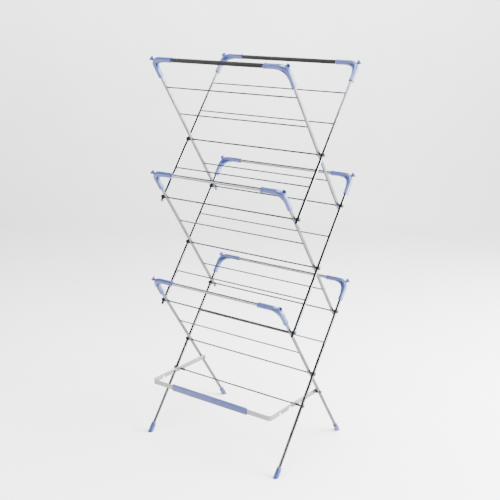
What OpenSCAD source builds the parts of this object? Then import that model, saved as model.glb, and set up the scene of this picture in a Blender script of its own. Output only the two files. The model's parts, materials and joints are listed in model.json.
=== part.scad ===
// Three-tier folding airer: six tube frames linked as a scissor, with a latch bail on the legs.
// +X runs along the lines, +Y points to the rear, +Z up. The origin is on the floor, under the middle.
// "inner" frames lean from the top front to the bottom rear and stand between the "outer" frames,
// which lean from the top rear to the bottom front. Each frame is drawn upright about its crossing
// pivot and then leaned into place.

/* [Lines] */
// Distance between neighbouring lines, measured along a frame
line_pitch = 120; // [110:1:130]
// Diameter of the plain line wires
wire_d = 4.8; // [3:0.1:5]
// Diameter of the pivot rods, which are lines too
rod_d = 5.6; // [4:0.1:5.6]

/* [Frames] */
// Distance between the side tube centres of an outer frame
outer_w = 568; // [540:1:640]
// Sideways step from an outer side tube to the inner side tube beside it
side_gap = 14; // [13.5:0.1:15]
// Lean of each frame from the vertical when open
spread = 36; // [32:0.5:38]
// Distance from the leg crossing down a leg to the floor
leg_drop = 380; // [365:1:400]
// Outside diameter of the frame tubes
tube_d = 11; // [10.5:0.1:11.2]
// Wall thickness of the frame tubes
tube_wall = 0.6; // [0.5:0.1:1]

/* [Corner pieces] */
// Bend radius of the elbow, at the middle of the tube
elbow_r = 26; // [24:1:30]
// Reach of a corner piece along the rail
rail_arm = 84; // [80:1:96]
// Reach of a corner piece down the side tube
side_arm = 74; // [70:1:84]
// Thickness of the corner sleeves, in the plane of the frame
arm_d = 15.5; // [15:0.1:16]
// Depth of the corner sleeves, square to the frame
arm_deep = 19; // [16.5:0.5:20]
// Diameter of the hanger knob
knob_d = 17; // [15:0.5:19]

/* [Grip sleeves] */
// Outside diameter of the foam sleeves on the top rails
foam_d = 15; // [14:0.5:17]
// Bare rail between a foam sleeve and the corner piece
foam_gap = 4; // [1:0.5:8]

/* [Latch bail] */
// Reach of the bail from its pivot to its front face
bail_reach = 305; // [290:1:310]
// Height of the bail strip
strip_h = 18; // [16:0.5:20]
// Thickness of the bail strip
strip_t = 2; // [1.5:0.1:2.5]
// Length of the moulded grip
grip_len = 330; // [280:1:350]
// Height of the moulded grip
grip_h = 26; // [22:0.5:30]
// Thickness of the moulded grip
grip_t = 9; // [7:0.5:11]

/* [Hidden] */
$fn = 48;

// Colours
chrome = "silver";
coated_wire = "dimgray";
moulded_blue = "cornflowerblue";
moulded_black = [0.1, 0.1, 0.11];
galvanised = "lightgray";

// Lines and pivots, as distances up a frame from its crossing pivot
rail_z = 3 * line_pitch;
upper_pivot_z = 2 * line_pitch;
upper_line_z = line_pitch;
lower_line_z = -line_pitch;
lower_pivot_z = -2 * line_pitch;
tip_len = 17;

// Sideways half widths
outer_x = outer_w / 2;
inner_x = outer_x - side_gap;

// Clearances, on the radius
run_fit = 0.06;
open_fit = 0.2;
seat_fit = 0.02;
face_gap = 0.05;

// Bushes and caps at the pivots
bush_d = rod_d + 2.4;
bush_flange_d = 12;
bush_lip_d = 9.5;
bush_lip_t = 2.5;
cap_d = 13;
cap_rim_t = 1.4;
cap_dome_r = 8;
rod_stand_out = 3;
plug_len = 12;
plug_lip_t = 1.5;
plug_lip_d = tube_d - 0.4;

// Corner piece details
collar_len = 7;
collar_grow = 1.2;
web_t = 3;
arch_w = 11;
arch_t = 2.6;
arch_r = 32;
arch_gap = 1.5;
arch_c = arm_d / 2 + arch_gap + arch_r;
knob_root = 2;
knob_neck_d = 9;
knob_neck_len = 2.5;
knob_flare_len = 4;
knob_rim_len = 4;
knob_edge = 1.5;
knob_cup_d = 9.5;
knob_cup_floor_d = 5;
knob_cup_deep = 9;

// Feet
foot_d = 19;
foot_top_d = 16.4;
foot_straight = 18;
foot_len = 38;
foot_sole = 8;
foot_rivet_z = 25;
rivet_seat = 0.3;
rivet_d = 4;
rivet_head_d = 7;
rivet_head_t = 1.2;

// Latch bail
bail_spacer_t = 3.2;
bail_x = inner_x - tube_d / 2 - bail_spacer_t - strip_t / 2;
bail_bend_r = 12;
strip_below = 4.3;
slot_depth = 10;
slots = [[38, 18], [101, 9]];
bail_rivet_d = 5;
bail_spacer_d = 14;
bail_head_d = 10;
bail_head_t = 2;
bail_cap_hole_d = 4.5;

// Latch rod collars
latch_collar_d = 9;
latch_collar_len = 34;
latch_collar_shift = -2;
latch_seat_r = latch_collar_d / 2 + 0.3;

// Places of the crossings above the floor, and the shift that centres the footprint
level_z = 4 * line_pitch * cos(spread);
leg_crossing_z = leg_drop * cos(spread);
pivot_y = line_pitch * sin(spread);
pivot_z = leg_crossing_z - line_pitch * cos(spread);
front_reach = bail_reach - pivot_y + (grip_t - strip_t) / 2;
rear_reach = leg_drop * sin(spread) + foot_d / 2 / cos(spread);
rack_y = (front_reach - rear_reach) / 2;

// Leaned planes: level 0 is the legs, 1 the middle tier and 2 the upper tier
module inner_frame(level) {
    translate([0, rack_y, leg_crossing_z + level * level_z])
        rotate([spread, 0, 0])
            children();
}

module outer_frame(level) {
    translate([0, rack_y, leg_crossing_z + level * level_z])
        rotate([-spread, 0, 0])
            children();
}

// A cylinder along X with its middle at x
module cross_bar(d, len, x = 0) {
    translate([x - len / 2, 0, 0])
        rotate([0, 90, 0])
            cylinder(d = d, h = len);
}

// Both side tubes: pivots pierce both walls, lines only the wall that faces the middle.
// The crossings above the legs close the linkage's loops, so their holes are a little looser.
module side_tubes(half_w, bottom_z, pivots, pivot_hole_d, lines, rivets = [], loose = []) {
    top_z = rail_z - elbow_r;
    color(chrome)
        for (side = [-1, 1])
            translate([side * half_w, 0, 0])
                difference() {
                    translate([0, 0, bottom_z])
                        cylinder(d = tube_d, h = top_z - bottom_z);
                    translate([0, 0, bottom_z - 1])
                        cylinder(d = tube_d - 2 * tube_wall, h = top_z - bottom_z + 2);
                    for (z = pivots)
                        translate([0, 0, z])
                            cross_bar(pivot_hole_d, tube_d + 2);
                    for (z = loose)
                        translate([0, 0, z])
                            cross_bar(rod_d + 2 * open_fit, tube_d + 2);
                    for (rivet = rivets)
                        translate([0, 0, rivet[0]])
                            cross_bar(rivet[1] + 2 * seat_fit, tube_d + 2);
                    for (z = lines)
                        translate([0, 0, z])
                            cross_bar(wire_d + 2 * seat_fit, tube_d / 2 + 1, -side * (tube_d + 2) / 4);
                }
}

module rail(half_w) {
    len = 2 * (half_w - elbow_r);
    color(chrome)
        translate([0, 0, rail_z])
            difference() {
                cross_bar(tube_d, len);
                cross_bar(tube_d - 2 * tube_wall, len + 2);
            }
}

// Line wires end inside the side tubes
module wires(half_w, lines) {
    color(coated_wire)
        for (z = lines)
            translate([0, 0, z])
                cross_bar(wire_d, 2 * half_w - 2);
}

module foam_grip(half_w) {
    len = 2 * (half_w - rail_arm - foam_gap);
    color(moulded_black)
        translate([0, 0, rail_z])
            difference() {
                cross_bar(foam_d, len);
                cross_bar(tube_d + 2 * face_gap, len + 2);
            }
}

// Hanger knob: neck, flare, rim and chamfered edge, around a deep cup
module hanger_knob() {
    neck_top = knob_root + knob_neck_len;
    rim_z = neck_top + knob_flare_len;
    edge_z = rim_z + knob_rim_len;
    top_z = edge_z + knob_edge;
    difference() {
        union() {
            cylinder(d = knob_neck_d, h = neck_top);
            translate([0, 0, neck_top])
                cylinder(d1 = knob_neck_d, d2 = knob_d, h = knob_flare_len);
            translate([0, 0, rim_z])
                cylinder(d = knob_d, h = knob_rim_len);
            translate([0, 0, edge_z])
                cylinder(d1 = knob_d, d2 = knob_d - 2 * knob_edge, h = knob_edge);
        }
        translate([0, 0, top_z - knob_cup_deep])
            cylinder(d1 = knob_cup_floor_d, d2 = knob_cup_d, h = knob_cup_deep + 0.01);
    }
}

// Section of a corner sleeve: a slot shape, deeper square to the frame than it is thick
module arm_section(grow = 0) {
    thick = arm_d + grow;
    step = (arm_deep - arm_d) / 2;
    square([thick, 2 * step], center = true);
    for (side = [-1, 1])
        translate([0, side * step])
            circle(d = thick);
}

// A straight stretch of sleeve down the side tube, from its lower end
module side_sleeve(len, grow = 0) {
    translate([0, 0, -side_arm])
        linear_extrude(len)
            arm_section(grow);
}

// A straight stretch of sleeve along the rail, from its inner end
module rail_sleeve(len, grow = 0) {
    translate([-rail_arm, 0, 0])
        rotate([0, 90, 0])
            linear_extrude(len)
                arm_section(grow);
}

// Stiffening web between the sleeves, in the plane of the frame
module web_outline() {
    difference() {
        union() {
            translate([-arch_c, -arch_c])
                square([arch_c - elbow_r, arch_c]);
            translate([-arch_c, -arch_c])
                square([arch_c, arch_c - elbow_r]);
            translate([-elbow_r, -elbow_r])
                circle(r = elbow_r);
        }
        translate([-arch_c, -arch_c])
            circle(r = arch_r + arch_t / 2);
    }
}

// Arch that finishes the web's inside edge
module arch_outline() {
    intersection() {
        translate([-arch_c, -arch_c])
            difference() {
                circle(r = arch_r + arch_t);
                circle(r = arch_r);
            }
        translate([-arch_c, -arch_c])
            square([arch_c, arch_c]);
    }
}

// Right-hand corner piece, drawn with the corner of the tube axes at the origin
module corner_solid() {
    color(moulded_blue)
        difference() {
            union() {
                side_sleeve(side_arm - elbow_r);
                side_sleeve(collar_len, collar_grow);
                rail_sleeve(rail_arm - elbow_r);
                rail_sleeve(collar_len, collar_grow);
                translate([-elbow_r, 0, -elbow_r])
                    rotate([90, 0, 0])
                        rotate_extrude(angle = 90)
                            translate([elbow_r, 0])
                                arm_section();
                rotate([90, 0, 0])
                    linear_extrude(web_t, center = true)
                        web_outline();
                rotate([90, 0, 0])
                    linear_extrude(arch_w, center = true)
                        arch_outline();
                translate([-elbow_r, 0, -elbow_r])
                    rotate([0, 45, 0])
                        translate([0, 0, elbow_r + arm_d / 2 - knob_root])
                            hanger_knob();
            }
            translate([0, 0, -side_arm - 1])
                cylinder(d = tube_d + 2 * seat_fit, h = side_arm - elbow_r + 1);
            cross_bar(tube_d + 2 * seat_fit, rail_arm - elbow_r + 1, -(rail_arm + elbow_r + 1) / 2);
        }
}

module corner_right(half_w) {
    translate([half_w, 0, rail_z])
        corner_solid();
}

module corner_left(half_w) {
    mirror([1, 0, 0])
        corner_right(half_w);
}

// Pivot rods run the whole width and end inside the caps
module pivot_rod(z) {
    color(coated_wire)
        translate([0, 0, z])
            cross_bar(rod_d, 2 * outer_x + tube_d + 2 * rod_stand_out);
}

// Bushes line the inner side tubes and keep the outer ones off them
module bushes(pivots) {
    flange_t = side_gap - tube_d - 2 * face_gap;
    inside_x = inner_x - tube_d / 2 - face_gap;
    body_len = tube_d + flange_t + 2 * face_gap;
    color(moulded_black)
        for (z = pivots, side = [0, 1])
            mirror([side, 0, 0])
                translate([inside_x, 0, z])
                    rotate([0, 90, 0])
                        difference() {
                            union() {
                                translate([0, 0, -bush_lip_t])
                                    cylinder(d = bush_lip_d, h = bush_lip_t);
                                cylinder(d = bush_d - 2 * seat_fit, h = body_len);
                                translate([0, 0, body_len - flange_t])
                                    cylinder(d = bush_flange_d, h = flange_t);
                            }
                            translate([0, 0, -bush_lip_t - 1])
                                cylinder(d = rod_d + 2 * run_fit, h = body_len + bush_lip_t + 2);
                        }
}

// Domed push-on cap with a blind hole in its flat face
module domed_cap(hole_d) {
    dome_h = cap_dome_r - sqrt(pow(cap_dome_r, 2) - pow(cap_d / 2, 2));
    difference() {
        union() {
            cylinder(d = cap_d, h = cap_rim_t);
            translate([0, 0, cap_rim_t])
                intersection() {
                    translate([0, 0, dome_h - cap_dome_r])
                        sphere(r = cap_dome_r);
                    cylinder(d = cap_d, h = dome_h);
                }
        }
        translate([0, 0, -1])
            cylinder(d = hole_d, h = 1 + rod_stand_out);
    }
}

// Caps outside the outer side tubes
module pivot_caps(pivots) {
    color(moulded_black)
        for (z = pivots, side = [0, 1])
            mirror([side, 0, 0])
                translate([outer_x + tube_d / 2 + face_gap, 0, z])
                    rotate([0, 90, 0])
                        domed_cap(rod_d + 2 * seat_fit);
}

// Plugs that close the lower ends of the tubes
module tube_plugs(half_w) {
    color(moulded_black)
        for (side = [-1, 1])
            translate([side * half_w, 0, lower_pivot_z - tip_len]) {
                cylinder(d = tube_d - 2 * tube_wall - 2 * seat_fit, h = plug_len);
                translate([0, 0, -plug_lip_t])
                    cylinder(d = plug_lip_d, h = plug_lip_t);
            }
}

// Boot on a leg, drawn up the leg from where its axis meets the floor
module boot(side, half_w) {
    translate([side * half_w, 0, -leg_drop])
        difference() {
            union() {
                translate([0, 0, -foot_d])
                    cylinder(d = foot_d, h = foot_d + foot_straight);
                translate([0, 0, foot_straight])
                    cylinder(d1 = foot_d, d2 = foot_top_d, h = foot_len - foot_straight);
            }
            translate([0, 0, foot_sole])
                cylinder(d = tube_d + 2 * seat_fit, h = foot_len);
            translate([0, 0, foot_rivet_z])
                cross_bar(rivet_d + 2 * seat_fit, foot_d + 2);
        }
}

module floor_cut() {
    translate([0, 0, -foot_d])
        cube([2 * outer_w, 2 * leg_drop, 2 * foot_d], center = true);
}

module foot_rivets(half_w) {
    taper = (foot_d - foot_top_d) * (foot_rivet_z - foot_straight) / (foot_len - foot_straight);
    seat_d = foot_d - taper;
    color(moulded_black)
        for (side = [-1, 1])
            translate([side * half_w, 0, -leg_drop + foot_rivet_z]) {
                cross_bar(rivet_d, seat_d + rivet_head_t);
                for (face = [-1, 1])
                    cross_bar(rivet_head_d, rivet_head_t, face * ((seat_d + rivet_head_t) / 2 + rivet_seat));
            }
}

// Plan of the bail: two arms joined by a front run, with rounded front corners
module bail_plan(grow) {
    half = bail_x + grow;
    front = bail_reach + grow - strip_t / 2;
    r = bail_bend_r + grow;
    translate([-half, -front + r])
        square([2 * half, front - r]);
    translate([-half + r, -front])
        square([2 * half - 2 * r, r]);
    for (side = [-1, 1])
        translate([side * (half - r), -front + r])
            circle(r = r);
}

// Square slot in the lower edge of both arms
module hook_slot(y, width) {
    translate([-2 * bail_x, y - width / 2, -2 * slot_depth - strip_below])
        cube([4 * bail_x, width, 3 * slot_depth]);
}

// Seat that drops over the latch rod's collars: an upright front face, and a rear face that
// clears them as the legs fold and the rod swings about the leg crossing
module latch_seat() {
    seat_y = -2 * pivot_y;
    floor_z = -strip_below - slot_depth;
    translate([0, seat_y, 0])
        cross_bar(2 * latch_seat_r, 3 * bail_x);
    translate([-2 * bail_x, seat_y - latch_seat_r, floor_z])
        cube([4 * bail_x, latch_seat_r, -floor_z]);
    difference() {
        translate([-2 * bail_x, seat_y, floor_z])
            cube([4 * bail_x, pivot_y, latch_seat_r - floor_z]);
        translate([0, -pivot_y, line_pitch * cos(spread)])
            cross_bar(2 * (line_pitch - latch_seat_r), 5 * bail_x);
    }
}

// The bail's own frame has its pivot axis at the origin
module bail_frame() {
    translate([0, rack_y + pivot_y, pivot_z])
        children();
}

module strip_solid() {
    difference() {
        union() {
            translate([0, 0, -strip_below])
                linear_extrude(strip_h)
                    difference() {
                        bail_plan(strip_t / 2);
                        bail_plan(-strip_t / 2);
                    }
            for (side = [-1, 1])
                translate([0, 0, strip_h / 2 - strip_below])
                    cross_bar(strip_h, strip_t, side * bail_x);
        }
        cross_bar(bail_rivet_d + 2 * run_fit, 3 * bail_x);
        for (slot = slots)
            hook_slot(-2 * pivot_y - slot[0], slot[1]);
        latch_seat();
    }
}

// Grip section: a slab with rounded edges
module grip_section() {
    r = grip_t / 2;
    translate([-r, -grip_h / 2 + r])
        square([grip_t, grip_h - grip_t]);
    for (end = [-1, 1])
        translate([0, end * (grip_h / 2 - r)])
            circle(r = r);
}

module upper_inner_side_tubes() {
    inner_frame(2)
        side_tubes(inner_x, lower_pivot_z - tip_len, [0, lower_pivot_z], bush_d,
            [upper_pivot_z, upper_line_z, lower_line_z]);
}

module upper_inner_rail() {
    inner_frame(2) rail(inner_x);
}

module upper_inner_wires() {
    inner_frame(2) wires(inner_x, [upper_pivot_z, upper_line_z, lower_line_z]);
}

module upper_inner_corner_left() {
    inner_frame(2) corner_left(inner_x);
}

module upper_inner_corner_right() {
    inner_frame(2) corner_right(inner_x);
}

module upper_inner_foam_grip() {
    inner_frame(2) foam_grip(inner_x);
}

module upper_crossing_rod() {
    inner_frame(2) pivot_rod(0);
}

module upper_inner_bushes() {
    inner_frame(2) bushes([0, lower_pivot_z]);
}

module upper_inner_pivot_caps() {
    inner_frame(2) pivot_caps([0]);
}

module upper_inner_tube_plugs() {
    inner_frame(2) tube_plugs(inner_x);
}

module upper_outer_side_tubes() {
    outer_frame(2)
        side_tubes(outer_x, lower_pivot_z - tip_len, [lower_pivot_z], rod_d + 2 * run_fit,
            [upper_pivot_z, upper_line_z, lower_line_z], loose = [0]);
}

module upper_outer_rail() {
    outer_frame(2) rail(outer_x);
}

module upper_outer_wires() {
    outer_frame(2) wires(outer_x, [upper_pivot_z, upper_line_z, lower_line_z]);
}

module upper_outer_corner_left() {
    outer_frame(2) corner_left(outer_x);
}

module upper_outer_corner_right() {
    outer_frame(2) corner_right(outer_x);
}

module upper_outer_foam_grip() {
    outer_frame(2) foam_grip(outer_x);
}

module upper_outer_tube_plugs() {
    outer_frame(2) tube_plugs(outer_x);
}

module middle_inner_side_tubes() {
    inner_frame(1)
        side_tubes(inner_x, lower_pivot_z - tip_len, [upper_pivot_z, 0, lower_pivot_z], bush_d,
            [upper_line_z, lower_line_z]);
}

module middle_inner_rail() {
    inner_frame(1) rail(inner_x);
}

module middle_inner_wires() {
    inner_frame(1) wires(inner_x, [upper_line_z, lower_line_z]);
}

module middle_inner_corner_left() {
    inner_frame(1) corner_left(inner_x);
}

module middle_inner_corner_right() {
    inner_frame(1) corner_right(inner_x);
}

module middle_crossing_rod() {
    inner_frame(1) pivot_rod(0);
}

module middle_front_pivot_rod() {
    inner_frame(1) pivot_rod(upper_pivot_z);
}

module middle_inner_bushes() {
    inner_frame(1) bushes([upper_pivot_z, 0, lower_pivot_z]);
}

module middle_inner_pivot_caps() {
    inner_frame(1) pivot_caps([upper_pivot_z, 0]);
}

module middle_inner_tube_plugs() {
    inner_frame(1) tube_plugs(inner_x);
}

module middle_outer_side_tubes() {
    outer_frame(1)
        side_tubes(outer_x, lower_pivot_z - tip_len, [upper_pivot_z, lower_pivot_z],
            rod_d + 2 * run_fit, [upper_line_z, lower_line_z], loose = [0]);
}

module middle_outer_rail() {
    outer_frame(1) rail(outer_x);
}

module middle_outer_wires() {
    outer_frame(1) wires(outer_x, [upper_line_z, lower_line_z]);
}

module middle_outer_corner_left() {
    outer_frame(1) corner_left(outer_x);
}

module middle_outer_corner_right() {
    outer_frame(1) corner_right(outer_x);
}

module middle_rear_pivot_rod() {
    outer_frame(1) pivot_rod(upper_pivot_z);
}

module middle_outer_pivot_caps() {
    outer_frame(1) pivot_caps([upper_pivot_z]);
}

module middle_outer_tube_plugs() {
    outer_frame(1) tube_plugs(outer_x);
}

module inner_leg_side_tubes() {
    inner_frame(0)
        side_tubes(inner_x, -leg_drop + foot_sole, [upper_pivot_z, 0], bush_d, [upper_line_z],
            [[-leg_drop + foot_rivet_z, rivet_d], [lower_line_z, bail_rivet_d]]);
}

module inner_leg_rail() {
    inner_frame(0) rail(inner_x);
}

module inner_leg_wire() {
    inner_frame(0) wires(inner_x, [upper_line_z]);
}

module inner_leg_corner_left() {
    inner_frame(0) corner_left(inner_x);
}

module inner_leg_corner_right() {
    inner_frame(0) corner_right(inner_x);
}

module inner_leg_feet() {
    color(moulded_blue)
        difference() {
            inner_frame(0)
                for (side = [-1, 1])
                    boot(side, inner_x);
            floor_cut();
        }
}

module inner_leg_foot_rivets() {
    inner_frame(0) foot_rivets(inner_x);
}

module leg_crossing_rod() {
    inner_frame(0) pivot_rod(0);
}

module leg_front_pivot_rod() {
    inner_frame(0) pivot_rod(upper_pivot_z);
}

module inner_leg_bushes() {
    inner_frame(0) bushes([upper_pivot_z, 0]);
}

module inner_leg_pivot_caps() {
    inner_frame(0) pivot_caps([upper_pivot_z, 0]);
}

// Shouldered rivets carry the bail: a head inside the strip, a spacer between the strip and the
// leg tube, and a domed cap outside the tube
module bail_pivots() {
    head_x = bail_x - strip_t / 2 - face_gap;
    spacer_x = bail_x + strip_t / 2 + face_gap;
    tube_x = inner_x - tube_d / 2 - face_gap;
    cap_x = inner_x + tube_d / 2 + face_gap;
    color(moulded_black)
        bail_frame()
            for (side = [0, 1])
                mirror([side, 0, 0]) {
                    cross_bar(bail_head_d, bail_head_t, head_x - bail_head_t / 2);
                    cross_bar(bail_rivet_d, cap_x + rod_stand_out - head_x,
                        (head_x + cap_x + rod_stand_out) / 2);
                    cross_bar(bail_spacer_d, tube_x - spacer_x, (spacer_x + tube_x) / 2);
                    translate([cap_x, 0, 0])
                        rotate([0, 90, 0])
                            domed_cap(bail_cap_hole_d);
                }
}

module outer_leg_side_tubes() {
    outer_frame(0)
        side_tubes(outer_x, -leg_drop + foot_sole, [upper_pivot_z, 0, lower_line_z],
            rod_d + 2 * run_fit, [upper_line_z], [[-leg_drop + foot_rivet_z, rivet_d]]);
}

module outer_leg_rail() {
    outer_frame(0) rail(outer_x);
}

module outer_leg_wire() {
    outer_frame(0) wires(outer_x, [upper_line_z]);
}

module outer_leg_corner_left() {
    outer_frame(0) corner_left(outer_x);
}

module outer_leg_corner_right() {
    outer_frame(0) corner_right(outer_x);
}

module outer_leg_feet() {
    color(moulded_blue)
        difference() {
            outer_frame(0)
                for (side = [-1, 1])
                    boot(side, outer_x);
            floor_cut();
        }
}

module outer_leg_foot_rivets() {
    outer_frame(0) foot_rivets(outer_x);
}

module leg_rear_pivot_rod() {
    outer_frame(0) pivot_rod(upper_pivot_z);
}

module latch_rod() {
    outer_frame(0) pivot_rod(lower_line_z);
}

// Collars under the bail's arms, which drop onto them
module latch_rod_collars() {
    color(moulded_black)
        outer_frame(0)
            translate([0, 0, lower_line_z])
                for (side = [-1, 1])
                    difference() {
                        cross_bar(latch_collar_d, latch_collar_len, side * (bail_x + latch_collar_shift));
                        cross_bar(rod_d + 2 * seat_fit, 2 * latch_collar_len, side * bail_x);
                    }
}

module outer_leg_pivot_caps() {
    outer_frame(0) pivot_caps([upper_pivot_z, lower_line_z]);
}

module latch_bail_strip() {
    color(galvanised)
        bail_frame()
            strip_solid();
}

module latch_bail_grip() {
    color(moulded_blue)
        bail_frame()
            difference() {
                translate([0, -bail_reach + strip_t / 2, strip_h / 2 - strip_below])
                    rotate([90, 0, 90])
                        linear_extrude(grip_len, center = true)
                            grip_section();
                translate([0, -bail_reach + strip_t / 2, strip_h / 2 - strip_below])
                    cube([grip_len + 2, strip_t, strip_h], center = true);
            }
}

upper_inner_side_tubes();
upper_inner_rail();
upper_inner_wires();
upper_inner_corner_left();
upper_inner_corner_right();
upper_inner_foam_grip();
upper_crossing_rod();
upper_inner_bushes();
upper_inner_pivot_caps();
upper_inner_tube_plugs();
upper_outer_side_tubes();
upper_outer_rail();
upper_outer_wires();
upper_outer_corner_left();
upper_outer_corner_right();
upper_outer_foam_grip();
upper_outer_tube_plugs();
middle_inner_side_tubes();
middle_inner_rail();
middle_inner_wires();
middle_inner_corner_left();
middle_inner_corner_right();
middle_crossing_rod();
middle_front_pivot_rod();
middle_inner_bushes();
middle_inner_pivot_caps();
middle_inner_tube_plugs();
middle_outer_side_tubes();
middle_outer_rail();
middle_outer_wires();
middle_outer_corner_left();
middle_outer_corner_right();
middle_rear_pivot_rod();
middle_outer_pivot_caps();
middle_outer_tube_plugs();
inner_leg_side_tubes();
inner_leg_rail();
inner_leg_wire();
inner_leg_corner_left();
inner_leg_corner_right();
inner_leg_feet();
inner_leg_foot_rivets();
leg_crossing_rod();
leg_front_pivot_rod();
inner_leg_bushes();
inner_leg_pivot_caps();
bail_pivots();
outer_leg_side_tubes();
outer_leg_rail();
outer_leg_wire();
outer_leg_corner_left();
outer_leg_corner_right();
outer_leg_feet();
outer_leg_foot_rivets();
leg_rear_pivot_rod();
latch_rod();
latch_rod_collars();
outer_leg_pivot_caps();
latch_bail_strip();
latch_bail_grip();
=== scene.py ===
import json
from math import atan2, cos, pi, radians, sin, sqrt

import bmesh
import bpy
from mathutils import Matrix, Vector


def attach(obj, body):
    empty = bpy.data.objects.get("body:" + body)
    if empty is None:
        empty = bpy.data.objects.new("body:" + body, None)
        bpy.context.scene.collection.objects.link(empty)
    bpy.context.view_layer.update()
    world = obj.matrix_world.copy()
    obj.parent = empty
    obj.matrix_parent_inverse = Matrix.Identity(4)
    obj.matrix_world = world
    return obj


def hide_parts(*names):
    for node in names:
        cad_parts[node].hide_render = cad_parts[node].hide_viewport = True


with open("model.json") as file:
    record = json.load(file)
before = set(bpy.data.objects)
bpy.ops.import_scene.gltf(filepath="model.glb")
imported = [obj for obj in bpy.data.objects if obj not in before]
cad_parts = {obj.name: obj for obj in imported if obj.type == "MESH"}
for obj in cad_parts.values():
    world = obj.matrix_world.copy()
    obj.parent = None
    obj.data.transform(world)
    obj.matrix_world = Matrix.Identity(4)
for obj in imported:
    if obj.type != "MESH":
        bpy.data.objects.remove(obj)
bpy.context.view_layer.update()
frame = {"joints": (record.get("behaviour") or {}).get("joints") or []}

# Folding three-tier clothes airer: six tube frames, their lines and pivots, and a latch bail.
# Lengths are millimetres unless a comment says otherwise.
mm = 0.001


def hexColour(text):
    channels = [int(text[i:i + 2], 16) / 255 for i in (1, 3, 5)]
    linear = [c / 12.92 if c <= 0.04045 else ((c + 0.055) / 1.055) ** 2.4 for c in channels]
    return (*linear, 1.0)


def addNode(tree, kind, inputs=None, **settings):
    node = tree.nodes.new(kind)
    for key, value in settings.items():
        setattr(node, key, value)
    for key, value in (inputs or {}).items():
        if isinstance(value, bpy.types.NodeSocket):
            tree.links.new(value, node.inputs[key])
        else:
            node.inputs[key].default_value = value
    return node


def newMaterial(name):
    material = bpy.data.materials.new(name)
    material.use_nodes = True
    tree = material.node_tree
    tree.nodes.clear()
    output = addNode(tree, "ShaderNodeOutputMaterial")
    shader = addNode(tree, "ShaderNodeBsdfPrincipled")
    tree.links.new(shader.outputs["BSDF"], output.inputs["Surface"])
    return material, tree, shader


# Object-space noise whose cells are `cell` millimetres long, stretched along chosen axes
def noiseField(tree, cell, stretch=(1, 1, 1), detail=3.0, roughness=0.55):
    place = addNode(tree, "ShaderNodeTexCoord")
    scale = [1 / (cell * mm * s) for s in stretch]
    mapping = addNode(tree, "ShaderNodeMapping", {"Vector": place.outputs["Object"], "Scale": scale})
    settings = {"Vector": mapping.outputs["Vector"], "Scale": 1.0, "Detail": detail, "Roughness": roughness}
    noise = addNode(tree, "ShaderNodeTexNoise", settings)
    return noise.outputs["Fac"]


# Nearly all values of a noise texture lie between these two
noiseLow = 0.3
noiseHigh = 0.7


# Turns a noise value into a number between low and high
def spread(tree, field, low, high):
    settings = {"Value": field, "From Min": noiseLow, "From Max": noiseHigh, "To Min": low, "To Max": high}
    ranged = addNode(tree, "ShaderNodeMapRange", settings)
    return ranged.outputs["Result"]


# The Mix node repeats its socket names for each data type, so its colour sockets go by number
def mixColours(tree, factor, first, second):
    mix = addNode(tree, "ShaderNodeMix", data_type="RGBA")
    for index, value in ((0, factor), (6, first), (7, second)):
        if isinstance(value, bpy.types.NodeSocket):
            tree.links.new(value, mix.inputs[index])
        else:
            mix.inputs[index].default_value = value
    return mix.outputs[2]


# Base colour and roughness that drift together along one noise field
def cloudSurface(tree, shader, look, field):
    colour = mixColours(tree, spread(tree, field, 0.0, 1.0), hexColour(look["colour"]),
                        hexColour(look["cloud"]))
    tree.links.new(colour, shader.inputs["Base Color"])
    tree.links.new(spread(tree, field, look["roughLow"], look["roughHigh"]), shader.inputs["Roughness"])


# Fine relief from a noise field, with the look's own height and strength
def reliefSurface(tree, shader, look, field):
    settings = {"Height": field, "Distance": look["relief"] * mm, "Strength": look["reliefStrength"]}
    bump = addNode(tree, "ShaderNodeBump", settings)
    tree.links.new(bump.outputs["Normal"], shader.inputs["Normal"])


tubeLook = {"colour": "#6b6d71", "cloud": "#606266", "edge": "#3c3d40", "roughLow": 0.05, "roughHigh": 0.12,
            "cloudCell": 34, "drawCell": 0.9, "drawLength": 60, "relief": 0.004, "reliefStrength": 0.5}


# Polished chrome on drawn steel tube: mirror bright, faint lengthwise draw lines and cloudy smudges
def chromedTube():
    material, tree, shader = newMaterial("chromedTube")
    cloudSurface(tree, shader, tubeLook, noiseField(tree, tubeLook["cloudCell"], (1, 1, 1.8)))
    draw = noiseField(tree, tubeLook["drawCell"], (1, 1, tubeLook["drawLength"]), 2.0)
    reliefSurface(tree, shader, tubeLook, draw)
    shader.inputs["Metallic"].default_value = 1.0
    shader.inputs["Specular Tint"].default_value = hexColour(tubeLook["edge"])
    return material


wireLook = {"colour": "#060607", "cloud": "#0a0a0b", "roughLow": 0.3, "roughHigh": 0.45, "specular": 0.2,
            "cloudCell": 22, "drawCell": 0.5, "drawLength": 70, "relief": 0.006, "reliefStrength": 0.5}


# Plastic-coated steel wire: near black, satin, with faint extrusion lines along it
def coatedWire():
    material, tree, shader = newMaterial("coatedWire")
    cloudSurface(tree, shader, wireLook, noiseField(tree, wireLook["cloudCell"], (2.5, 1, 1)))
    draw = noiseField(tree, wireLook["drawCell"], (wireLook["drawLength"], 1, 1), 2.0)
    reliefSurface(tree, shader, wireLook, draw)
    shader.inputs["Specular IOR Level"].default_value = wireLook["specular"]
    return material


blueLook = {"colour": "#1d2d62", "cloud": "#25366e", "roughLow": 0.3, "roughHigh": 0.42, "ior": 1.49,
            "coat": 0.12, "coatRoughness": 0.2, "flowCell": 16, "peelCell": 0.8, "relief": 0.02,
            "reliefStrength": 0.35}


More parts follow.
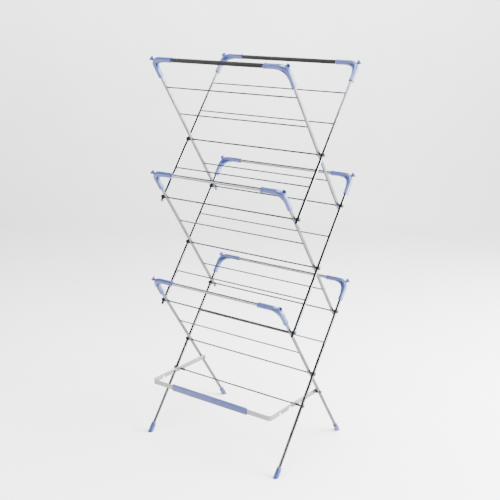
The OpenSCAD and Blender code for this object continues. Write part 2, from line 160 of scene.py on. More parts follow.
# Injection-moulded polypropylene: periwinkle blue, satin, fine orange peel and flow clouding
def bluePlastic():
    material, tree, shader = newMaterial("bluePlastic")
    cloudSurface(tree, shader, blueLook, noiseField(tree, blueLook["flowCell"], (1, 1, 1), 2.0))
    reliefSurface(tree, shader, blueLook, noiseField(tree, blueLook["peelCell"], (1, 1, 1), 2.0))
    shader.inputs["IOR"].default_value = blueLook["ior"]
    shader.inputs["Coat Weight"].default_value = blueLook["coat"]
    shader.inputs["Coat Roughness"].default_value = blueLook["coatRoughness"]
    return material


blackLook = {"colour": "#0a0a0b", "cloud": "#101012", "roughLow": 0.32, "roughHigh": 0.48, "ior": 1.53,
             "flowCell": 5, "grainCell": 0.4, "relief": 0.015, "reliefStrength": 0.4}


# Moulded nylon: near black, satin, a little paler where the mould polished it
def blackPlastic():
    material, tree, shader = newMaterial("blackPlastic")
    cloudSurface(tree, shader, blackLook, noiseField(tree, blackLook["flowCell"], (1, 1, 1), 2.0))
    reliefSurface(tree, shader, blackLook, noiseField(tree, blackLook["grainCell"], (1, 1, 1), 2.0))
    shader.inputs["IOR"].default_value = blackLook["ior"]
    return material


foamLook = {"colour": "#050506", "cloud": "#0a0a0b", "roughLow": 0.8, "roughHigh": 0.95, "specular": 0.3,
            "sheen": 0.05, "sheenRoughness": 0.5, "scuffCell": 18, "poreCell": 0.9, "relief": 0.12,
            "reliefStrength": 0.5}


# Skinned closed-cell foam: charcoal, matt, tiny open pores (drawn about twice real size) and scuffs
def foamSleeve():
    material, tree, shader = newMaterial("foamSleeve")
    cloudSurface(tree, shader, foamLook, noiseField(tree, foamLook["scuffCell"], (2.0, 1, 1)))
    place = addNode(tree, "ShaderNodeTexCoord")
    settings = {"Vector": place.outputs["Object"], "Scale": 1 / (foamLook["poreCell"] * mm)}
    pores = addNode(tree, "ShaderNodeTexVoronoi", settings, feature="F1")
    reliefSurface(tree, shader, foamLook, pores.outputs["Distance"])
    shader.inputs["Specular IOR Level"].default_value = foamLook["specular"]
    shader.inputs["Sheen Weight"].default_value = foamLook["sheen"]
    shader.inputs["Sheen Roughness"].default_value = foamLook["sheenRoughness"]
    return material


stripLook = {"colour": "#82827f", "cloud": "#6e706e", "roughLow": 0.28, "roughHigh": 0.42, "spangleCell": 9,
             "rollCell": 0.7, "rollLength": 60, "relief": 0.01, "reliefStrength": 0.5}


# Zinc-plated rolled strip: pale warm grey, satin, rolling lines along the strip and faint spangle
def zincStrip():
    material, tree, shader = newMaterial("zincStrip")
    cloudSurface(tree, shader, stripLook, noiseField(tree, stripLook["spangleCell"], (1, 1, 1), 4.0))
    length = stripLook["rollLength"]
    reliefSurface(tree, shader, stripLook, noiseField(tree, stripLook["rollCell"], (length, length, 1), 2.0))
    shader.inputs["Metallic"].default_value = 1.0
    return material


paperLook = {"colour": "#f1f1f1", "cloud": "#ececed", "roughness": 0.55, "specular": 0.25, "cloudCell": 600}


# Seamless paper sweep: pale, matt, only the faintest clouding
def paperSweep():
    material, tree, shader = newMaterial("paperSweep")
    cloud = noiseField(tree, paperLook["cloudCell"], (1, 1, 1), 2.0)
    colour = mixColours(tree, spread(tree, cloud, 0.0, 1.0), hexColour(paperLook["colour"]),
                        hexColour(paperLook["cloud"]))
    tree.links.new(colour, shader.inputs["Base Color"])
    shader.inputs["Roughness"].default_value = paperLook["roughness"]
    shader.inputs["Specular IOR Level"].default_value = paperLook["specular"]
    return material


materials = {
    "tube": chromedTube(),
    "wire": coatedWire(),
    "blue": bluePlastic(),
    "black": blackPlastic(),
    "foam": foamSleeve(),
    "strip": zincStrip(),
    "paper": paperSweep(),
}
print("materials ready")


# Skins rings of points in order; a ring of one point closes the skin there
def joinRings(bm, rings):
    previous = None
    for ring in rings:
        current = [bm.verts.new(point) for point in ring]
        if previous is not None:
            count = max(len(previous), len(current))
            for i in range(count):
                j = (i + 1) % count
                corners = [previous[i % len(previous)], previous[j % len(previous)],
                           current[j % len(current)], current[i % len(current)]]
                unique = [v for k, v in enumerate(corners) if v not in corners[:k]]
                bm.faces.new(unique)
        previous = current


# Adds a finished bmesh to another one and frees it
def mergeInto(bm, extra):
    scratch = bpy.data.meshes.new("scratch")
    extra.to_mesh(scratch)
    extra.free()
    bm.from_mesh(scratch)
    bpy.data.meshes.remove(scratch)


def circlePoints(centre, across, along, radius, segments):
    if radius < 1e-6:
        return [centre.copy()]
    turns = [2 * pi * i / segments for i in range(segments)]
    return [centre + across * (radius * cos(t)) + along * (radius * sin(t)) for t in turns]


# Rounds the corners of an open profile; radius is the fillet at every inner point
def filletProfile(points, radius, steps=3):
    result = [Vector(points[0])]
    for i in range(1, len(points) - 1):
        here = Vector(points[i])
        back = Vector(points[i - 1]) - here
        ahead = Vector(points[i + 1]) - here
        reach = min(radius, back.length * 0.45, ahead.length * 0.45)
        first = here + back.normalized() * reach
        last = here + ahead.normalized() * reach
        for k in range(steps + 1):
            t = k / steps
            result.append(first * (1 - t) ** 2 + here * (2 * t * (1 - t)) + last * t ** 2)
    result.append(Vector(points[-1]))
    return result


# Turns a profile of (radius, height) points about the local Z axis
def latheInto(bm, profile, place=None, segments=32, fillet=0.0):
    place = place or Matrix.Identity(4)
    points = filletProfile(profile, fillet) if fillet else [Vector(p) for p in profile]
    rings = [circlePoints(Vector((0, 0, p.y)), Vector((1, 0, 0)), Vector((0, 1, 0)), p.x, segments)
             for p in points]
    joinRings(bm, [[place @ point for point in ring] for ring in rings])


# Profile of a closed round bar or sleeve between two heights
def barProfile(radius, low, high, bore=0.0):
    if bore:
        return [(bore, low), (radius, low), (radius, high), (bore, high), (bore, low)]
    return [(0, low), (radius, low), (radius, high), (0, high)]


# Matrix that lays the local Z axis along world X, with its start at the given point
def alongX(x=0.0, y=0.0, z=0.0, flip=False):
    return Matrix.Translation((x, y, z)) @ Matrix.Rotation(-pi / 2 if flip else pi / 2, 4, "Y")


# Sweeps a closed section, given as (offset, depth) points, along a path in the XZ plane and closes its ends;
# one section serves the whole path, or each point of the path has its own
def sweepInto(bm, path, sections):
    rings = []
    for i, point in enumerate(path):
        before = path[max(i - 1, 0)]
        after = path[min(i + 1, len(path) - 1)]
        tangent = (after - before).normalized()
        outward = Vector((tangent.z, 0, -tangent.x))
        section = sections[i] if isinstance(sections[0][0], (tuple, list, Vector)) else sections
        rings.append([point + outward * s[0] + Vector((0, s[1], 0)) for s in section])
    middle = [sum(ring, Vector()) / len(ring) for ring in (rings[0], rings[-1])]
    joinRings(bm, [[middle[0]], *rings, [middle[1]]])


# Rectangle with rounded corners, width across the path and depth square to it
def slabSection(width, depth, corner, steps=5):
    points = []
    for cx, cy, start in ((1, 1, 0), (-1, 1, 90), (-1, -1, 180), (1, -1, 270)):
        for k in range(steps + 1):
            angle = radians(start + 90 * k / steps)
            points.append((cx * (width / 2 - corner) + corner * cos(angle),
                           cy * (depth / 2 - corner) + corner * sin(angle)))
    return points


# Plate with bevelled edges from an outline of (a, b) points; axes say where a, b and the depth go
def plateInto(bm, outline, depth, bevel, axes):
    first, second, third = (Vector(a) for a in axes)
    plate = bmesh.new()
    low = [plate.verts.new(first * a + second * b - third * (depth / 2)) for a, b in outline]
    high = [plate.verts.new(first * a + second * b + third * (depth / 2)) for a, b in outline]
    plate.faces.new(low[::-1])
    plate.faces.new(high)
    count = len(outline)
    for i in range(count):
        j = (i + 1) % count
        plate.faces.new([low[i], low[j], high[j], high[i]])
    bmesh.ops.recalc_face_normals(plate, faces=plate.faces)
    if bevel:
        rims = [e for e in plate.edges if len(e.link_faces) == 2 and e.calc_face_angle(0) > radians(60)]
        bmesh.ops.bevel(plate, geom=rims, offset=bevel, segments=2, profile=0.6, affect="EDGES")
    mergeInto(bm, plate)


# Finishes a bmesh in millimetres as a piece that rides on a body and stands for CAD nodes
def makePiece(name, bm, look, body, nodes, place=None, sharp=38):
    bmesh.ops.recalc_face_normals(bm, faces=bm.faces)
    for face in bm.faces:
        face.smooth = True
    for edge in bm.edges:
        edge.smooth = not (len(edge.link_faces) == 2 and edge.calc_face_angle(0) > radians(sharp))
    bmesh.ops.scale(bm, vec=(mm, mm, mm), verts=bm.verts)
    mesh = bpy.data.meshes.new(name)
    bm.to_mesh(mesh)
    bm.free()
    mesh.materials.append(materials[look])
    piece = bpy.data.objects.new(name, mesh)
    bpy.context.scene.collection.objects.link(piece)
    piece.matrix_world = place or Matrix.Identity(4)
    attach(piece, body)
    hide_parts(*nodes)
    return piece


# The linkage comes from the joints: where they are gives the pitch and the lean of every frame
joints = {joint["name"]: joint for joint in frame["joints"]}
legCrossing = Vector(joints["fold"]["pos_m"])
frontPin = Vector(joints["lower_front_link"]["pos_m"])
bailPin = Vector(joints["bail_lift"]["pos_m"])
rise = frontPin - legCrossing
pitch = rise.length / 2 / mm
lean = atan2(-rise.y, rise.z)
levelRise = 4 * pitch * mm * cos(lean)


# Where a leaned frame stands: level 0 is the legs, 1 the middle tier, 2 the upper tier
def leaned(level, inner):
    turn = lean if inner else -lean
    return Matrix.Translation(legCrossing + Vector((0, 0, level * levelRise))) @ Matrix.Rotation(turn, 4, "X")


# soleGap is how far a leg tube ends above its sole, wireShort how far a wire ends short of the tube's axis
tubeSizes = {"diameter": 11, "wall": 0.6, "outerX": 284, "innerX": 270, "tip": 17, "drop": 380,
             "soleGap": 8, "wire": 4.8, "wireShort": 1, "rod": 5.6, "rodOut": 3, "endRound": 0.3,
             "endStep": 0.25, "boreShown": 3}
cornerSizes = {"bend": 26, "railArm": 84, "sideArm": 74, "armDiameter": 15.5, "armDeep": 19,
               "collarGrow": 1.2, "collarLength": 7, "web": 3, "archRadius": 32, "archGap": 1.5,
               "archThick": 2.6, "archDeep": 11, "archEdge": 0.9}
knobSizes = {"root": 2, "neck": 9, "neckLength": 2.5, "flare": 4, "rim": 4, "diameter": 17, "edge": 1.5,
             "cup": 9.5, "cupFloor": 5, "cupDeep": 9}
foamSizes = {"diameter": 15, "gap": 4}
capSizes = {"diameter": 13, "rim": 1.4, "dome": 3.34, "bushFlange": 12, "bushFlangeThick": 2.9,
            "lip": 9.5, "lipThick": 2.5}
plugSizes = {"reach": 6, "lipUnder": 0.25, "step": 0.7}
footSizes = {"diameter": 19, "top": 16.4, "straight": 18, "length": 38, "rivetAt": 25, "rivetHead": 7}
bailSizes = {"x": 260.3, "reach": 305, "height": 18, "thick": 2, "below": 4.3, "bend": 12,
             "gripLength": 330, "gripHeight": 26, "gripThick": 9, "gripCorner": 4.2, "seatRadius": 4.8,
             "seatOpening": 60, "slotDeep": 10, "slots": ((38, 18), (101, 9)), "collar": 9,
             "collarLength": 34, "collarShift": -2, "rivetHead": 10, "rivetHeadThick": 2, "spacer": 14}

tubeRadius = tubeSizes["diameter"] / 2
railAt = 3 * pitch
# clearance between faces and round the tubes
faceGap = 0.05


# Tube with a rolled edge at both ends and a visible bore
def tubeProfile(low, high):
    outside = tubeRadius
    inside = tubeRadius - tubeSizes["wall"]
    edge = tubeSizes["endRound"]
    step = tubeSizes["endStep"]
    shown = tubeSizes["boreShown"]
    return [(inside, low + shown), (inside, low + step), (outside - step, low), (outside, low + edge),
            (outside, high - edge), (outside - step, high), (inside, high - step), (inside, high - shown),
            (inside, low + shown)]


def sideTubes(bm, halfWidth, bottom):
    for side in (-1, 1):
        place = Matrix.Translation((side * halfWidth, 0, 0))
        latheInto(bm, tubeProfile(bottom, railAt - cornerSizes["bend"]), place, 40)


def railTube(bm, halfWidth):
    half = halfWidth - cornerSizes["bend"]
    latheInto(bm, tubeProfile(-half, half), alongX(0, 0, railAt), 40)


def lineWires(bm, halfWidth, heights):
    half = halfWidth - tubeSizes["wireShort"]
    for height in heights:
        latheInto(bm, barProfile(tubeSizes["wire"] / 2, -half, half), alongX(0, 0, height), 20, 0.4)


def pivotRods(bm, heights):
    half = tubeSizes["outerX"] + tubeRadius + tubeSizes["rodOut"]
    for height in heights:
        latheInto(bm, barProfile(tubeSizes["rod"] / 2, -half, half), alongX(0, 0, height), 24, 0.5)


def foamTube(bm, halfWidth):
    half = halfWidth - cornerSizes["railArm"] - foamSizes["gap"]
    radius = foamSizes["diameter"] / 2
    latheInto(bm, barProfile(radius, -half, half, tubeRadius + faceGap), alongX(0, 0, railAt), 40, 1.2)


def arcPoints(centre, radius, start, end, steps):
    return [Vector((centre[0] + radius * cos(radians(a)), 0, centre[1] + radius * sin(radians(a))))
            for a in (start + (end - start) * k / steps for k in range(steps + 1))]


# Ring of a slot-shaped section: a circle whose two halves are moved apart along Y
def slotPoints(centre, across, radius, shift, segments):
    points = circlePoints(centre, across, Vector((0, 1, 0)), radius, segments)
    for i, point in enumerate(points):
        turn = sin(2 * pi * i / segments)
        if abs(turn) > 1e-6:
            point.y += shift if turn > 0 else -shift
    return points


# One arm of a corner sleeve as (distance from the corner, radius, depth step), from its bore outwards
def armStations(reach):
    arm = cornerSizes["armDiameter"] / 2
    collar = arm + cornerSizes["collarGrow"] / 2
    step = (cornerSizes["armDeep"] - cornerSizes["armDiameter"]) / 2
    shoulder = reach - cornerSizes["collarLength"]
    bore = tubeRadius + faceGap
    return [(reach - 1, bore, 0), (reach, bore, 0), (reach, collar - 0.6, step), (reach - 0.6, collar, step),
            (shoulder + 0.5, collar, step), (shoulder, arm + 0.1, step), (shoulder - 1, arm, step)]


# Sleeve from end to end: collar, side arm, elbow, rail arm, collar
def cornerSleeve(bm):
    bend = cornerSizes["bend"]
    arm = cornerSizes["armDiameter"] / 2
    step = (cornerSizes["armDeep"] - cornerSizes["armDiameter"]) / 2
    sideStations = armStations(cornerSizes["sideArm"])
    stations = [(Vector((0, 0, -d)), 0.0, radius, shift) for d, radius, shift in sideStations]
    for k, point in enumerate(arcPoints((-bend, -bend), bend, 0, 90, 14)):
        stations.append((point, pi / 2 * k / 14, arm, step))
    railStations = reversed(armStations(cornerSizes["railArm"]))
    stations += [(Vector((-d, 0, 0)), pi / 2, radius, shift) for d, radius, shift in railStations]
    rings = []
    for point, angle, radius, shift in stations:
        outward = Vector((cos(angle), 0, sin(angle)))
        rings.append(slotPoints(point, outward, radius, shift, 32))
    joinRings(bm, rings)


# Web between the arms, and the arch that finishes its inside edge
def cornerWeb(bm):
    bend = cornerSizes["bend"]
    radius = cornerSizes["archRadius"]
    away = cornerSizes["armDiameter"] / 2 + cornerSizes["archGap"] + radius
    mid = radius + cornerSizes["archThick"] / 2
    inner = [(p.x, p.z) for p in arcPoints((-away, -away), mid, 0, 90, 16)]
    outer = [(p.x, p.z) for p in arcPoints((-bend, -bend), bend, 90, 0, 12)]
    outline = inner + [(-away, 0)] + outer + [(0, -away)]
    plateInto(bm, outline, cornerSizes["web"], 0.0, ((1, 0, 0), (0, 0, 1), (0, 1, 0)))
    section = slabSection(cornerSizes["archThick"], cornerSizes["archDeep"], cornerSizes["archEdge"])
    sweepInto(bm, arcPoints((-away, -away), mid, -3, 93, 20), section)


# Hanger knob on the outside of the elbow: neck, flare, rim, rounded edge and a tapered cup
def hangerKnob(bm):
    bend = cornerSizes["bend"]
    root = bend + cornerSizes["armDiameter"] / 2 - knobSizes["root"]
    neck = knobSizes["neck"] / 2
    head = knobSizes["diameter"] / 2
    edge = knobSizes["edge"]
    cup = knobSizes["cup"] / 2
    neckTop = knobSizes["root"] + knobSizes["neckLength"]
    flareTop = neckTop + knobSizes["flare"]
    top = flareTop + knobSizes["rim"] + edge
    floor = top - knobSizes["cupDeep"]
    profile = [(0, 0), (neck, 0), (neck, neckTop), (head, flareTop), (head, top - edge),
               (head - edge * 0.3, top - edge * 0.3), (head - edge, top), (cup + 0.4, top), (cup, top - 0.4),
               (knobSizes["cupFloor"] / 2, floor), (0, floor)]
    elbow = Matrix.Translation((-bend, 0, -bend)) @ Matrix.Rotation(pi / 4, 4, "Y")
    latheInto(bm, profile, elbow @ Matrix.Translation((0, 0, root)), 32, 0.3)


# Right-hand corner, drawn with the corner of the tube axes at the origin and moved to its place;
# the left one is its mirror image
def placedCorner(bm, mirrored, halfWidth):
    cornerSleeve(bm)
    cornerWeb(bm)
    hangerKnob(bm)
    bmesh.ops.translate(bm, vec=(halfWidth, 0, railAt), verts=bm.verts)
    if mirrored:
        bmesh.ops.scale(bm, vec=(-1, 1, 1), verts=bm.verts)


def capProfile():
    radius = capSizes["diameter"] / 2
    rim = capSizes["rim"]
    dome = capSizes["dome"]
    curve = [(radius * cos(radians(a)), rim + dome * sin(radians(a))) for a in range(0, 91, 10)]
    return [(0, 0), (radius - 0.3, 0), (radius, 0.3), *curve[:-1], (0, rim + dome)]


def pivotCaps(bm, heights):
    out = tubeSizes["outerX"] + tubeRadius + faceGap
    for height in heights:
        latheInto(bm, capProfile(), alongX(out, 0, height), 32)
        latheInto(bm, capProfile(), alongX(-out, 0, height, True), 32)


def pivotBushes(bm, heights):
    inside = tubeSizes["innerX"] - tubeRadius - faceGap
    outside = tubeSizes["innerX"] + tubeRadius + faceGap
    bore = tubeSizes["rod"] / 2 + 0.03
    lip = barProfile(capSizes["lip"] / 2, -capSizes["lipThick"], 0, bore)
    flange = barProfile(capSizes["bushFlange"] / 2, 0, capSizes["bushFlangeThick"], bore)
    for height in heights:
        for flip in (False, True):
            sign = -1 if flip else 1
            latheInto(bm, lip, alongX(sign * inside, 0, height, flip), 28, 0.4)
            latheInto(bm, flange, alongX(sign * outside, 0, height, flip), 32, 0.4)


def tubePlugs(bm, halfWidth, bottom):
    radius = tubeRadius - plugSizes["lipUnder"]
    step = plugSizes["step"]
    profile = [(0, plugSizes["reach"]), (radius - step, plugSizes["reach"]), (radius - step, 0), (radius, 0),
               (radius, -step), (radius - step, -2 * step), (0, -2 * step)]
    for side in (-1, 1):
        latheInto(bm, profile, Matrix.Translation((side * halfWidth, 0, bottom)), 32, 0.25)


# Boot round the leg, sliced level at the floor; place is the frame's matrix
def bootInto(bm, side, halfWidth, place):
    radius = footSizes["diameter"] / 2
    top = footSizes["top"] / 2
    length = footSizes["length"]
    bore = tubeRadius + faceGap
    boot = bmesh.new()
    # starts below the floor; the rim at the top is rounded, with a short bore round the leg
    profile = [(0, -radius * 2), (radius, -radius * 2), (radius, footSizes["straight"]),
               (top + 0.1, length - 1.4), (top - 0.7, length - 0.4), (top - 1.5, length), (bore, length),
               (bore, length - 4), (0, length - 4)]
    shift = Matrix.Translation((side * halfWidth, 0, -tubeSizes["drop"]))
    latheInto(boot, profile, shift, 48, 0.4)
    floorPoint = place.inverted() @ Vector((0, 0, 0))
    floorNormal = place.to_3x3().inverted() @ Vector((0, 0, 1))
    everything = boot.verts[:] + boot.edges[:] + boot.faces[:]
    cut = bmesh.ops.bisect_plane(boot, geom=everything, dist=1e-5, plane_co=floorPoint / mm,
                                 plane_no=floorNormal, clear_inner=True)
    rim = [e for e in cut["geom_cut"] if isinstance(e, bmesh.types.BMEdge)]
    bmesh.ops.holes_fill(boot, edges=rim, sides=0)
    bmesh.ops.recalc_face_normals(boot, faces=boot.faces)
    mergeInto(bm, boot)


# Low domed rivet heads on both flanks of each boot, seated on its taper
def footRivets(bm, halfWidth):
    taper = (footSizes["diameter"] - footSizes["top"]) * (footSizes["rivetAt"] - footSizes["straight"])
    seat = (footSizes["diameter"] - taper / (footSizes["length"] - footSizes["straight"])) / 2
    head = footSizes["rivetHead"] / 2
    height = -tubeSizes["drop"] + footSizes["rivetAt"]
    profile = [(0, -2), (head, -2), (head, 0.3), (head - 0.6, 0.85), (head - 1.8, 1.1), (0, 1.15)]
    for side in (-1, 1):
        for face in (-1, 1):
            place = alongX(side * halfWidth + face * seat, 0, height, face < 0)
            latheInto(bm, profile, place, 24, 0.2)


# The latch bail is drawn in its own frame, with the pivot axis at the origin
# Side view of one arm: rounded rear end, hook slots and the latch seat in the lower edge
def armOutline():
    low = -bailSizes["below"]
    high = low + bailSizes["height"]
    middle = (low + high) / 2
    half = bailSizes["height"] / 2
    pinDrop = pitch * sin(lean)
    seatY = -2 * pinDrop
    seatR = bailSizes["seatRadius"]
    deep = low + bailSizes["slotDeep"]
    front = -bailSizes["reach"] + bailSizes["bend"] + bailSizes["thick"]
    points = [(half * cos(radians(a)), middle + half * sin(radians(a))) for a in range(-90, 91, 9)]
    points += [(front, high), (front, low)]
    for distance, width in reversed(bailSizes["slots"]):
        centre = seatY - distance
        points += [(centre - width / 2, low), (centre - width / 2, deep), (centre + width / 2, deep),
                   (centre + width / 2, low)]
    points += [(seatY - seatR, low), (seatY - seatR, 0)]
    opening = bailSizes["seatOpening"]
    points += [(seatY + seatR * cos(radians(a)), seatR * sin(radians(a))) for a in range(168, opening, -12)]
    # the rear flank follows the swing of the latch rod about the leg crossing
    centreZ = pitch * cos(lean)
    swing = pitch - seatR
    rim = sqrt(swing ** 2 - (low - centreZ) ** 2)
    firstAngle = atan2(seatR * sin(radians(opening)) - centreZ,
                       seatY + pinDrop + seatR * cos(radians(opening)))
    lastAngle = atan2(low - centreZ, -rim)
    steps = 6
    for k in range(steps + 1):
        angle = firstAngle + (lastAngle - firstAngle) * k / steps
        points.append((-pinDrop + swing * cos(angle), centreZ + swing * sin(angle)))
    return points


# Flat strip bent to a U: two arms with their slots, and the front run with its bends
def bailStrip(bm):
    axes = ((0, 1, 0), (0, 0, 1), (1, 0, 0))
    low = -bailSizes["below"]
    height = bailSizes["height"]
    thick = bailSizes["thick"]
    for side in (-1, 1):
        arm = bmesh.new()
        plateInto(arm, armOutline(), thick, 0.3, axes)
        bmesh.ops.translate(arm, vec=(side * bailSizes["x"], 0, 0), verts=arm.verts)
        mergeInto(bm, arm)
    # front run with its two bends, swept flat and then stood up
    front = bmesh.new()
    bend = bailSizes["bend"]
    halfX = bailSizes["x"]
    line = -bailSizes["reach"] + thick / 2
    path = arcPoints((-halfX + bend, line + bend), bend, 180, 270, 10)
    path += arcPoints((halfX - bend, line + bend), bend, 270, 360, 10)
    path = [Vector((path[0].x, 0, path[0].z + 1.0))] + path + [Vector((path[-1].x, 0, path[-1].z + 1.0))]
    sweepInto(front, path, slabSection(thick, height, 0.3, 2))
    stand = Matrix(((1, 0, 0, 0), (0, 0, 1, 0), (0, 1, 0, low + height / 2), (0, 0, 0, 1)))
    bmesh.ops.transform(front, matrix=stand, verts=front.verts)
    mergeInto(bm, front)


def bailGrip(bm):
    half = bailSizes["gripLength"] / 2
    middle = -bailSizes["below"] + bailSizes["height"] / 2
    line = -bailSizes["reach"] + bailSizes["thick"] / 2
    path = []
    sections = []
    # each end rounds off in three steps of (distance in, shrink)
    rounding = ((0, 2.2), (0.7, 0.8), (2.2, 0))
    stations = [(-half + into, shrink) for into, shrink in rounding]
    stations += [(half - into, shrink) for into, shrink in reversed(rounding)]
    for x, shrink in stations:
        path.append(Vector((x, 0, 0)))
        sections.append(slabSection(bailSizes["gripHeight"] - 2 * shrink, bailSizes["gripThick"] - 2 * shrink,
                                    bailSizes["gripCorner"] - shrink * 0.95))
    sweepInto(bm, path, sections)
    bmesh.ops.translate(bm, vec=(0, line, middle), verts=bm.verts)


def bailPivots(bm):
    headX = bailSizes["x"] - bailSizes["thick"] / 2 - faceGap
    spacerX = bailSizes["x"] + bailSizes["thick"] / 2 + faceGap
    tubeX = tubeSizes["innerX"] - tubeRadius - faceGap
    capX = tubeSizes["innerX"] + tubeRadius + faceGap
    head = barProfile(bailSizes["rivetHead"] / 2, -bailSizes["rivetHeadThick"], 0)
    spacer = barProfile(bailSizes["spacer"] / 2, 0, tubeX - spacerX)
    for flip in (False, True):
        sign = -1 if flip else 1
        latheInto(bm, head, alongX(sign * headX, 0, 0, flip), 28, 0.6)
        latheInto(bm, spacer, alongX(sign * spacerX, 0, 0, flip), 28, 0.4)
        latheInto(bm, capProfile(), alongX(sign * capX, 0, 0, flip), 32)


def latchCollars(bm):
    half = bailSizes["collarLength"] / 2
    profile = barProfile(bailSizes["collar"] / 2, -half, half, tubeSizes["rod"] / 2 + 0.02)
    for side in (-1, 1):
        place = alongX(side * (bailSizes["x"] + bailSizes["collarShift"]), 0, -pitch)
        latheInto(bm, profile, place, 28, 0.8)


# Numbers are heights in pitches up a frame from its crossing
tiers = [
    {"level": 2, "inner": True, "tier": "upper_inner", "wires": (2, 1, -1), "foam": True,
     "rods": {"upper_crossing_rod": 0}, "bushes": (0, -2), "caps": (0,)},
    {"level": 2, "inner": False, "tier": "upper_outer", "wires": (2, 1, -1), "foam": True,
     "rods": {}, "bushes": (), "caps": ()},
    {"level": 1, "inner": True, "tier": "middle_inner", "wires": (1, -1), "foam": False,
     "rods": {"middle_crossing_rod": 0, "middle_front_pivot_rod": 2}, "bushes": (2, 0, -2), "caps": (2, 0)},
    {"level": 1, "inner": False, "tier": "middle_outer", "wires": (1, -1), "foam": False,
     "rods": {"middle_rear_pivot_rod": 2}, "bushes": (), "caps": (2,)},
    {"level": 0, "inner": True, "tier": "inner_leg", "wires": (1,), "foam": False,
     "rods": {"leg_crossing_rod": 0, "leg_front_pivot_rod": 2}, "bushes": (2, 0), "caps": (2, 0)},
    {"level": 0, "inner": False, "tier": "outer_leg", "wires": (1,), "foam": False,
     "rods": {"leg_rear_pivot_rod": 2, "latch_rod": -1}, "bushes": (), "caps": (2, -1)},
]


# Builds one piece with its own builder and lets it stand for the CAD node of the same name
def showNode(node, look, body, place, build):
    bm = bmesh.new()
    build(bm)
    return makePiece(node + "_shown", bm, look, body, [node], place)


def buildTier(spec):
    tier = spec["tier"]
    body = tier + "_frame"
    place = leaned(spec["level"], spec["inner"])
    halfWidth = tubeSizes["innerX"] if spec["inner"] else tubeSizes["outerX"]
    legs = spec["level"] == 0
    bottom = -tubeSizes["drop"] + tubeSizes["soleGap"] if legs else -2 * pitch - tubeSizes["tip"]

    def heights(name):
        return [k * pitch for k in spec[name]]

    def show(part, look, build):
        return showNode(tier + "_" + part, look, body, place, build)

    show("side_tubes", "tube", lambda bm: sideTubes(bm, halfWidth, bottom))
    show("rail", "tube", lambda bm: railTube(bm, halfWidth))
    show("wire" if legs else "wires", "wire", lambda bm: lineWires(bm, halfWidth, heights("wires")))
    if spec["foam"]:
        sleeve = show("foam_grip", "foam", lambda bm: foamTube(bm, halfWidth))
    if spec["bushes"]:
        show("bushes", "black", lambda bm: pivotBushes(bm, heights("bushes")))
    if spec["caps"]:
        show("pivot_caps", "black", lambda bm: pivotCaps(bm, heights("caps")))
    if legs:
        show("foot_rivets", "black", lambda bm: footRivets(bm, halfWidth))
        show("feet", "blue", lambda bm: [bootInto(bm, side, halfWidth, place) for side in (-1, 1)])
    else:
        show("tube_plugs", "black", lambda bm: tubePlugs(bm, halfWidth, bottom))
    for node, height in spec["rods"].items():
        showNode(node, "wire", body, place, lambda bm: pivotRods(bm, [height * pitch]))
    for hand in ("left", "right"):
        show("corner_" + hand, "blue", lambda bm: placedCorner(bm, hand == "left", halfWidth))
    print("frame ready:", tier)


for spec in tiers:
    buildTier(spec)

bailPlace = Matrix.Translation(bailPin)
showNode("bail_pivots", "black", "inner_leg_frame", bailPlace, bailPivots)
showNode("latch_rod_collars", "black", "outer_leg_frame", leaned(0, False), latchCollars)
showNode("latch_bail_strip", "strip", "latch_bail", bailPlace, bailStrip)
showNode("latch_bail_grip", "blue", "latch_bail", bailPlace, bailGrip)
print("bail ready")

# metres
sweepSizes = {"halfWidth": 3.6, "front": -7.0, "back": 3.2, "bend": 1.6, "height": 7.0}


def paperPiece():
    bm = bmesh.new()
    back = sweepSizes["back"]
    bend = sweepSizes["bend"]
    profile = [(sweepSizes["front"], 0.0)]
    profile += [(back + bend * sin(radians(a)), bend - bend * cos(radians(a))) for a in range(0, 91, 5)]
    profile.append((back + bend, sweepSizes["height"]))
    half = sweepSizes["halfWidth"]
    rows = [[bm.verts.new((x, y, z)) for x in (-half, half)] for y, z in profile]
    for low, high in zip(rows, rows[1:]):
        bm.faces.new([low[0], low[1], high[1], high[0]])
    for face in bm.faces:
        face.smooth = True
    mesh = bpy.data.meshes.new("paperSweep")
    bm.to_mesh(mesh)
    bm.free()
    mesh.materials.append(materials["paper"])
    paper = bpy.data.objects.new("paperSweep", mesh)
    bpy.context.scene.collection.objects.link(paper)
    return paper


paper = paperPiece()


# angles in degrees, lens in millimetres of a 36 mm wide sensor
cameraLook = {"azimuth": 34.93, "elevation": 14.947, "roll": 1.254, "lens": 63.307,
              "right": 14.997, "up": 686.969, "distance": 3339.061}


# The camera looks at a point above the floor, under the leg crossing, shifted right and up in its own view
def placeCamera():
    azimuth = radians(cameraLook["azimuth"])
    elevation = radians(cameraLook["elevation"])
    roll = radians(cameraLook["roll"])
    back = Vector((sin(azimuth) * cos(elevation), -cos(azimuth) * cos(elevation), sin(elevation)))
    right = Vector((cos(azimuth), sin(azimuth), 0))
    up = back.cross(right)
    rolledRight = right * cos(roll) + up * sin(roll)
    rolledUp = up * cos(roll) - right * sin(roll)
    shift = (rolledRight * cameraLook["right"] + rolledUp * cameraLook["up"]) * mm
    target = Vector((0, legCrossing.y, 0)) + shift
    position = target + back * (cameraLook["distance"] * mm)
    data = bpy.data.cameras.new("camera")
    data.lens = cameraLook["lens"]
    data.sensor_width = 36
    camera = bpy.data.objects.new("camera", data)
    bpy.context.scene.collection.objects.link(camera)
    turn = Matrix((rolledRight, rolledUp, back)).transposed().to_4x4()
    camera.matrix_world = Matrix.Translation(position) @ turn
    bpy.context.scene.camera = camera
    return camera, azimuth


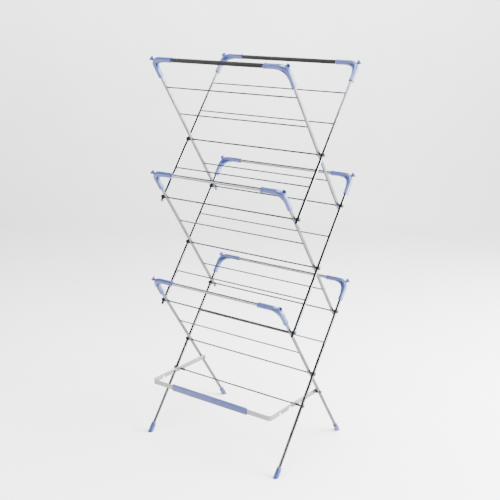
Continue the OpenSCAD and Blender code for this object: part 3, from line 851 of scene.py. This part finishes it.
camera, cameraAzimuth = placeCamera()
paper.matrix_world = Matrix.Rotation(cameraAzimuth, 4, "Z")


lightAim = Vector((0, 0, 0.7))
# name, degrees right of the camera, elevation, distance, width, height (metres), power (watts)
lights = [
    ("keySoftbox", 85, 14, 3.1, 3.0, 2.4, 900),
    ("topSoftbox", 10, 84, 3.4, 2.0, 2.0, 520),
    ("sideCard", -70, 12, 3.4, 1.5, 2.2, 90),
]


def areaLight(name, azimuth, elevation, distance, width, height, power):
    a = radians(azimuth) + cameraAzimuth
    e = radians(elevation)
    direction = Vector((sin(a) * cos(e), -cos(a) * cos(e), sin(e)))
    data = bpy.data.lights.new(name, "AREA")
    data.shape = "RECTANGLE"
    data.size = width
    data.size_y = height
    data.energy = power
    light = bpy.data.objects.new(name, data)
    bpy.context.scene.collection.objects.link(light)
    light.location = lightAim + direction * distance
    light.rotation_mode = "QUATERNION"
    light.rotation_quaternion = direction.to_track_quat("Z", "Y")


for entry in lights:
    areaLight(*entry)

# z values are the height of the view direction: pale low band all round, dark studio ceiling above it
skyLook = {"colour": "#f6f8fb", "bandTop": 0.03, "ceilingFrom": 0.22, "bandStrength": 5.0,
           "ceilingStrength": 0.3}
world = bpy.data.worlds.new("studio")
world.use_nodes = True
worldTree = world.node_tree
worldTree.nodes.clear()
worldOut = addNode(worldTree, "ShaderNodeOutputWorld")
skyPlace = addNode(worldTree, "ShaderNodeTexCoord")
skyAxes = addNode(worldTree, "ShaderNodeSeparateXYZ", {"Vector": skyPlace.outputs["Generated"]})
skyRamp = {"Value": skyAxes.outputs["Z"], "From Min": skyLook["bandTop"], "From Max": skyLook["ceilingFrom"],
           "To Min": skyLook["bandStrength"], "To Max": skyLook["ceilingStrength"]}
band = addNode(worldTree, "ShaderNodeMapRange", skyRamp, interpolation_type="SMOOTHSTEP")
ambient = addNode(worldTree, "ShaderNodeBackground",
                  {"Color": hexColour(skyLook["colour"]), "Strength": band.outputs["Result"]})
worldTree.links.new(ambient.outputs["Background"], worldOut.inputs["Surface"])
bpy.context.scene.world = world
print("stage ready")
